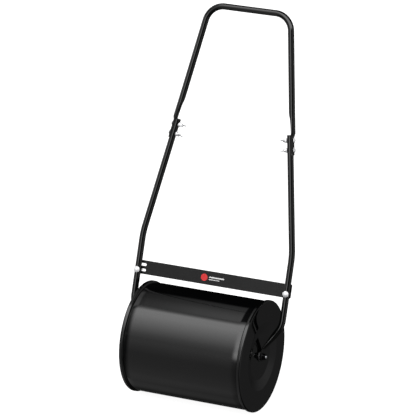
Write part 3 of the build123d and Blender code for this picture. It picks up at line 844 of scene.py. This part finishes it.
def cast_wing_nut():
    """One wing nut in its own millimetres, cast-soft all over, as a mesh to copy."""
    voxel, lobe, foot = 0.32, 4.6, 2.6
    tip, root = Vector((9.4, 10.9)), Vector((2.0, 3.4))
    run = (tip - root).normalized()
    lean_in = math.acos((lobe - foot) / (tip - root).length)
    heading = math.atan2(run.y, run.x)
    outline = []
    for centre, radius, start, end in ((tip, lobe, -lean_in, lean_in),
                                       (root, foot, lean_in, 2 * math.pi - lean_in)):
        for k in range(17):
            a = heading + start + (end - start) * k / 16
            outline.append((centre.x + radius * math.cos(a), centre.y + radius * math.sin(a)))
    parts = []
    for side in (1, -1):
        rings = [[Vector((x * side, y, z)) for x, z in outline] for y in (-1.3, 1.3)]
        parts.append(cutter(skin(rings, True, True)))
    base = cutter(lathe(rounded([(0, 0.01, 0), (0, 6.2, 0.5), (8.0, 5.0, 0.9), (8.0, 0.01, 0)], 4), 48))
    cut(base, parts, "UNION")
    remesh = base.modifiers.new("remesh", "REMESH")
    remesh.mode, remesh.voxel_size = "VOXEL", voxel
    soften = base.modifiers.new("soften", "SMOOTH")
    soften.iterations, soften.factor = 5, 0.5
    mesh = bpy.data.meshes.new_from_object(base.evaluated_get(bpy.context.evaluated_depsgraph_get()))
    bpy.data.meshes.remove(base.data)
    bore = cutter(lathe([(-2, 0.01), (-2, 3.06), (18, 3.06), (18, 0.01)], 40))
    nut = bpy.data.objects.new("wing", mesh)
    bpy.context.scene.collection.objects.link(nut)
    cut(nut, [bore])
    mesh = nut.data
    bpy.data.objects.remove(nut)
    return mesh


def joint_place(side, down, out, outwards):
    """Own z runs out of (or into) the handle joint at one of its bolts."""
    centre = mirrored(LOWER_TOP - LOWER_UP * down + LOWER_OUT * out, side)
    z = mirrored(LOWER_OUT * (1 if outwards else -1), side)
    return place(leaned(*centre), turned(*z), turned(0, 1, 0))


def joint_fasteners():
    wing = cast_wing_nut()
    for side, name in ((1, "right"), (-1, "left")):
        bolts, washers, nuts = bmesh.new(), bmesh.new(), bmesh.new()
        for i, down in enumerate(JOINT_DOWN):
            domed_bolt(bolts, joint_place(side, down, CRESCENT_OUT, True), JOINT_HEAD, 3.6,
                       CRESCENT_OUT + TUBE + 12.1, CRESCENT_OUT + TUBE - 2)
            inner = joint_place(side, down, -TUBE, False)
            washer(washers, inner, 0, WASHER_THICK, JOINT_HEAD, BOLT_HOLE)
            turn = Matrix.Rotation(math.radians((8, -14)[i]), 4, "Z")
            first = len(nuts.verts)
            nuts.from_mesh(wing)
            moved = inner @ Matrix.Translation((0, 0, WASHER_THICK)) @ turn
            bmesh.ops.transform(nuts, matrix=moved, verts=list(nuts.verts)[first:])
        piece(f"joint_bolts_{name}", bolts, "frame", ZINC, [f"{name}_joint_bolts"])
        piece(f"joint_washers_{name}", washers, "frame", ZINC,
              [f"{name}_joint_washers"])
        piece(f"wing_nuts_{name}", nuts, "frame", CAST_ZINC, [f"{name}_wing_nuts"])
    bpy.data.meshes.remove(wing)


def scraper_fasteners():
    bolts, washers, nuts = bmesh.new(), bmesh.new(), bmesh.new()
    for side in (1, -1):
        front = place(leaned(LEG_X * side, -TUBE, BOLT_SLOT_S), turned(0, -1, 0), turned(1, 0, 0))
        behind = place(leaned(LEG_X * side, TUBE + SCRAPER_THICK, BOLT_SLOT_S), turned(0, 1, 0),
                       turned(1, 0, 0))
        domed_bolt(bolts, front, SCRAPER_HEAD, 4.6, 2 * TUBE + SCRAPER_THICK + 9.6, 2 * TUBE)
        washer(washers, behind, 0, WASHER_THICK, SCRAPER_HEAD, BOLT_HOLE)
        hex_nut(nuts, behind, 10.0, WASHER_THICK, 5.0, BOLT_RADIUS + 0.05)
    piece("scraper_bolt_pair", bolts, "frame", ZINC, ["scraper_bolts"])
    piece("scraper_washer_pair", washers, "frame", ZINC, ["scraper_washers"])
    piece("scraper_nut_pair", nuts, "frame", ZINC, ["scraper_nuts"])


def axle():
    rod = bmesh.new()
    pitch = 1.5
    end = [(THRUST_X - 0.6, AXLE_MIDDLE, 0.0), (THRUST_X, AXLE_MIDDLE - 0.6, 0.0),
           (THRUST_X, AXLE_THREAD - 0.1, 0.0)]
    end += thread_rows(THRUST_X + 0.2, AXLE_END, AXLE_THREAD, pitch, 0.8)
    mirror_end = [(-z, r, depth) for z, r, depth in reversed(end)]
    turned_rod(rod, on_axle(1), mirror_end + end, pitch)
    piece("axle_bar", rod, "frame", AXLE_STEEL, ["axle_rod"])
    thrust, tabs, locks = (bmesh.new() for _ in range(3))
    for side in (1, -1):
        own = on_axle(side)
        washer(thrust, own, THRUST_X, THRUST_WASHER, AXLE_WASHER, AXLE_HOLE)
        washer(tabs, own, TAB_OUT, TAB_WASHER, AXLE_WASHER, AXLE_HOLE)
        spun = own @ Matrix.Rotation(math.radians(17 * side), 4, "Z")
        hex_nut(locks, spun, 16.0, LOCK_NUT_X, 8.0, AXLE_THREAD + 0.05, 2.5, 7.2)
    for name, bm, node in (
        ("thrust_washers", thrust, "axle_thrust_washers"),
        ("tab_washers", tabs, "axle_tab_washers"), ("lock_nuts", locks, "axle_lock_nuts"),
    ):
        # The axle nuts and washers take the zinc darkened with painted shade
        piece(name, bm, "frame", PAINTED_SHADE_ZINC, [node])


def hub():
    for side, name in ((1, "right"), (-1, "left")):
        bm = bmesh.new()
        outline = rounded([
            (HUB_END - BUSH_LONG, BUSH_BORE, 0.4), (HUB_END + BUSH_FLANGE, BUSH_BORE, 0.4),
            (HUB_END + BUSH_FLANGE, FLANGE_RADIUS, 0.6), (HUB_END, FLANGE_RADIUS, 0.2),
            (HUB_END, BUSH_RADIUS, 0.1), (HUB_END - BUSH_LONG, BUSH_RADIUS, 0.6)], 4)
        lathe(outline, 64, on_axle(side), bm=bm)
        piece(f"bush_{name}", bm, "drum", NYLON, [f"{name}_bush"])
        bead = bmesh.new()
        weld_bead(bead, on_axle(side) @ Matrix.Translation((0, 0, FLOOR_X)), 15.6, 1.5, 0.8, 34)
        piece(f"hub_weld_{name}", bead, "drum", WELD_PAINT)
    tube_materials = frame["nodes"]["hub_tube"].data.materials
    tube_materials.clear()
    tube_materials.append(HUB_STEEL)


def shell_seam():
    """The sheet's welded joint along the shell, low at the back."""
    length, wide, high, count = 154.0, 2.4, 0.7, 280
    around = math.radians(128)
    rings = []
    for i in range(count + 1):
        z = -length + 2 * length * i / count
        swell = 0.85 + 0.15 * abs(math.sin(z * math.pi / 4.4)) + random.uniform(-0.03, 0.03)
        swell *= min(1.0, (length - abs(z)) / 3.0 + 0.15)
        rings.append([(z, BODY + high * swell * math.sin(t), wide * swell * math.cos(t))
                      for t in (2 * math.pi * k / 12 for k in range(12))])
    out = Vector((0, math.sin(around), math.cos(around)))
    across = Vector((0, math.cos(around), -math.sin(around)))
    points = [[AXLE + (Vector((z, 0, 0)) + out * r + across * w) * MM for z, r, w in ring]
              for ring in rings]
    piece("shell_seam_weld", skin(points, True, True), "drum", WELD_PAINT)


def filler_seat(own):
    socket, bead, seal = (bmesh.new() for _ in range(3))
    lathe(rounded([(SOCKET_OUT, 12.6, 0.5), (SOCKET_OUT, SOCKET_RADIUS, 0.5),
                   (-12.0, SOCKET_RADIUS, 0.5), (-12.0, 12.6, 0.5)], 4), 72, own, bm=socket)
    piece("filler_ring", socket, "drum", END_PAINT, ["filler_socket"])
    weld_bead(bead, own, SOCKET_RADIUS + 0.6, 1.8, 1.2, 40)
    piece("filler_weld", bead, "drum", WELD_PAINT)
    lathe(rounded([(SOCKET_OUT, 12.7, 0.4), (PLUG_SEAT, 12.7, 0.4), (PLUG_SEAT, 15.6, 0.8),
                   (SOCKET_OUT, 15.6, 0.8)], 5), 72, own, bm=seal)
    piece("filler_seal", seal, "plug_seal", RUBBER, ["filler_gasket"])


def plug_flange(own):
    """The plug's scalloped rim, from rows of (z, radius, depth of the scallops)."""
    rows = [(PLUG_SEAT, 15.2, 0.0), (PLUG_SEAT, 16.0, 0.2), (3.9, 16.4, 0.5), (6.3, 16.4, 0.5),
            (7.0, 16.1, 0.35), (7.4, 15.4, 0.1), (7.5, 14.4, 0.0)]
    rings = []
    for z, radius, dip in rows:
        ring = []
        for a in full_turn(192):
            r = radius - dip * (0.5 - 0.5 * math.cos(FLANGE_SCALLOPS * a))
            ring.append(own @ Vector((r * math.cos(a), r * math.sin(a), z)))
        rings.append(ring)
    return cutter(skin(rings, True, True))


def plug_grip(own):
    """The bar across the plug, from rows of (z, half length, half thickness)."""
    rows = [(6.5, 12.5, 3.0), (9.5, 12.4, 2.7), (12.5, 12.2, 2.5), (14.2, 11.9, 2.3),
            (14.8, 11.5, 1.9), (15.0, 10.9, 1.3)]
    rings = [[own @ Vector((along, over, z)) for along, over in stadium(long, thick)]
             for z, long, thick in rows]
    return cutter(skin(rings, True, True))


def filler():
    own = place(FILLER, Vector((-1, 0, 0)), Vector((0, 1, 0)))
    filler_seat(own)
    body = bmesh.new()
    turned_rod(body, own, thread_rows(PLUG_SEAT, -7.5, 12.25, PLUG_PITCH, 0.9), PLUG_PITCH, 64)
    obj = piece("filler_cap", body, "plug", PLUG_PLASTIC, ["filler_plug"])
    cut(obj, [plug_flange(own), plug_grip(own)], "UNION")


joint_fasteners()
scraper_fasteners()
axle()
hub()
shell_seam()
filler()


# ---------------------------- light, floor and camera
def ramp(n, value, stops, peak):
    """Brightness that follows a value from 0 to 1 through (place, brightness) stops."""
    node = n.add("ShaderNodeValToRGB", Fac=value)
    node.color_ramp.interpolation = "LINEAR"
    elements = node.color_ramp.elements
    while len(elements) < len(stops):
        elements.new(0.5)
    for element, (at, level) in zip(elements, stops):
        element.position = at
        element.color = (level / peak, level / peak, level / peak, 1)
    return n.times(node.outputs[0], peak)


class Direction:
    """Sockets with the direction that light comes from."""

    def __init__(self, n):
        direction = n.add("ShaderNodeTexCoord").outputs["Generated"]
        self.x, self.y, self.z = n.add("ShaderNodeSeparateXYZ", Vector=direction).outputs
        ahead = n.times(self.y, -1.0)
        self.over = n.times(n.math("ARCTAN2", ahead, self.z), 1 / math.pi)    # 0 up, 1 down
        turn = n.times(n.math("ARCTAN2", self.x, ahead), 1 / math.pi)
        self.around = n.range(turn, -1.0, 1.0, 0.0, 1.0)                       # 0.5 in front


def over_at(degrees):
    return degrees / 180


def around_at(degrees):
    return degrees / 360 + 0.5


def by_part(n, part, stops, peak):
    """A ramp along one part of the direction, with its stops given from -1 to 1."""
    return ramp(n, n.range(part, -1.0, 1.0, 0.0, 1.0), [(at / 2 + 0.5, v) for at, v in stops], peak)


def dark_oval(n, d, x, z, wide, high, inner, outer):
    """0 near one direction and 1 away from it."""
    dx = n.math("DIVIDE", n.math("SUBTRACT", d.x, x), wide)
    dz = n.math("DIVIDE", n.math("SUBTRACT", d.z, z), high)
    return n.ease(n.math("ADD", n.times(dx, dx), n.times(dz, dz)), inner, outer)


def key_light(n, d):
    """The boxes above and in front; the right one reaches further down."""
    left = ramp(n, d.over, [(over_at(at), v) for at, v in (
        (1, 0.7), (4.5, 1.2), (10, 3.8), (22, 3.7), (38, 2.65), (52, 1.7), (62, 1.05), (72, 0.7),
        (102, 0.45), (180, 0.4))], 4.0)
    right = ramp(n, d.over, [(over_at(at), v) for at, v in (
        (1, 0.7), (4.5, 1.2), (10, 3.9), (55, 3.9), (70, 3.0), (85, 2.0), (102, 0.8), (180, 0.4))],
        4.0)
    key = n.blend(n.ease(d.x, -0.33, -0.15), left, right)
    return n.times(key, n.blend(n.ease(d.z, 0.26, 0.36), 1.0, n.ease(d.x, -0.62, -0.42, 0.1, 1)))


def low_light(n, d):
    """The walls round the object, by degrees from the front, fading towards the floor."""
    level = ramp(n, d.around, [(around_at(at), v) for at, v in (
        (-180, 0), (-140, 0), (-112, 0.7), (-104, 0.83), (-75, 1.3), (-49, 1.4), (-24, 1.0),
        (-14, 0.7), (0, 0.4), (20, 0.2), (45, 0.3), (75, 0.25), (95, 0.6), (105, 0.85), (122, 0.75),
        (149, 0.31), (156, 0.19), (166, 0.03), (180, 0))], 1.5)
    fall = by_part(n, d.z, (
        (-1.0, 0.12), (-0.94, 0.14), (-0.9, 0.24), (-0.86, 0.28), (-0.7, 0.34), (-0.2, 0.38),
        (0.05, 0.56), (0.25, 0.8), (1.0, 1.0)), 1.0)
    return n.times(level, fall)


def front_light(n, d, low):
    front = n.blend(n.ease(d.z, 0.02, 0.32), low, key_light(n, d))
    strip = n.times(n.ease(d.x, -0.35, -0.2), n.ease(d.x, -0.06, 0.04, 1, 0),
                    n.ease(d.z, 0.1, 0.22), n.ease(d.z, 0.3, 0.45, 1, 0))
    front = n.times(n.math("ADD", front, strip), dark_oval(n, d, 0.4, 0.28, 0.34, 0.27, 0.55, 1.2))
    notch = by_part(n, d.x, ((-0.8, 1.0), (-0.7, 0.12), (-0.58, 0.12), (-0.43, 1.0)), 1.0)
    front = n.times(front, n.blend(n.ease(d.z, 0.26, 0.36), notch, 1.0))
    at_right = n.times(n.ease(d.x, 0.35, 0.5), n.ease(d.z, 0.45, 0.6, 1, 0),
                       n.ease(d.z, -0.5, -0.35))
    return n.blend(at_right, front, n.ease(d.x, 0.65, 0.85, 0.0, 0.4))


def rear_light(n, d, low):
    depth = n.times(d.over, -180.0)     # degrees behind overhead
    across = by_part(n, d.x, ((-0.47, 0.9), (-0.43, 0.25), (-0.405, 0.25), (-0.385, 0.95),
                              (-0.355, 1.05), (-0.325, 0.05)), 1.2)
    high = n.times(n.ease(depth, 2.0, 38.0, 1.2, 0.3), n.ease(depth, 38.0, 46.0, 1, 0), across)
    fill = n.times(n.ease(d.around, around_at(-146), around_at(-136)),
                   n.ease(d.around, around_at(-118), around_at(-108), 1, 0),
                   n.times(n.ease(d.z, 0.08, 0.25, 0, 0.2), n.ease(d.z, 0.7, 0.85, 1, 0)))
    rear = n.blend(n.ease(d.z, 0.05, 0.2), low, n.math("ADD", high, fill))
    rear = n.math("ADD", rear, n.ease(d.z, -0.6, -0.42, 0.035, 0.0))
    wall = n.times(n.math("POWER", 17.3, d.x), n.ease(d.z, -0.33, -0.2, 0.024, 0.04),
                   dark_oval(n, d, 0.13, -0.27, 0.07, 0.07, 0.4, 1.2),
                   n.ease(d.z, -0.75, -0.6, 0.25, 1.0))
    at_wall = n.times(n.ease(d.x, -0.2, 0.0), n.ease(d.z, 0.35, 0.55, 1, 0))
    return n.blend(at_wall, rear, wall)


def studio():
    """Soft boxes in a dark studio, as brightness by direction; the camera sees white paper."""
    world = bpy.data.worlds.new("studio")
    bpy.context.scene.world = world
    world.use_nodes = True
    world.node_tree.nodes.clear()
    n = Nodes(world.node_tree)
    d = Direction(n)
    low = low_light(n, d)
    is_front = n.range(d.y, -0.02, 0.0, 1, 0)
    light = n.blend(is_front, rear_light(n, d, low), front_light(n, d, low))
    lit = n.add("ShaderNodeBackground", Color=(1, 1, 1, 1), Strength=n.math("ADD", light, 0.002))
    white = n.add("ShaderNodeBackground", Color=(1, 1, 1, 1), Strength=1.0)
    seen = n.add("ShaderNodeLightPath").outputs["Is Camera Ray"]
    mixed = n.add("ShaderNodeMixShader", Fac=seen)
    n.put(mixed, "1", lit.outputs[0])
    n.put(mixed, "2", white.outputs[0])
    n.add("ShaderNodeOutputWorld", Surface=mixed.outputs[0])


def floor():
    bm = bmesh.new()
    reach = 40.0
    bm.faces.new([bm.verts.new((x * reach, y * reach, 0))
                  for x, y in ((-1, -1), (1, -1), (1, 1), (-1, 1))])
    mesh = bpy.data.meshes.new("floor")
    bm.to_mesh(mesh)
    bm.free()
    obj = bpy.data.objects.new("floor", mesh)
    bpy.context.scene.collection.objects.link(obj)
    mat, n, shader, coords = material("floor")
    mottle = n.noise(coords, 3.0, 4.0, 0.5)
    n.put(shader, "Base Color", n.mix(mottle, (0.3, 0.3, 0.3), (0.34, 0.34, 0.34)))
    shader.inputs["Roughness"].default_value = 0.9
    shader.inputs["Specular IOR Level"].default_value = 0.0
    shader.inputs["Emission Color"].default_value = (1, 1, 1, 1)
    shader.inputs["Emission Strength"].default_value = 0.93
    mesh.materials.append(mat)
    obj.visible_glossy = False
    obj.visible_diffuse = False


CAMERA_FROM_AXLE = Vector((3.4333, -7.4894, 3.4695))
CAMERA_RIGHT, CAMERA_BACK = Vector((0.90985, 0.41495, 0.0)), Vector((0.38909, -0.85316, 0.34747))
LENS = 272.86


def camera():
    back = CAMERA_BACK
    right = (CAMERA_RIGHT - back * CAMERA_RIGHT.dot(back)).normalized()
    up = back.cross(right)
    data = bpy.data.cameras.new("camera")
    data.sensor_width = 36.0
    data.lens = LENS
    data.clip_end = 100.0
    obj = bpy.data.objects.new("camera", data)
    turn = Matrix((right, up, back)).transposed().to_4x4()
    obj.matrix_world = Matrix.Translation(AXLE + CAMERA_FROM_AXLE) @ turn
    bpy.context.scene.collection.objects.link(obj)
    bpy.context.scene.camera = obj


studio()
floor()
camera()
bpy.context.scene.view_settings.view_transform = "Standard"
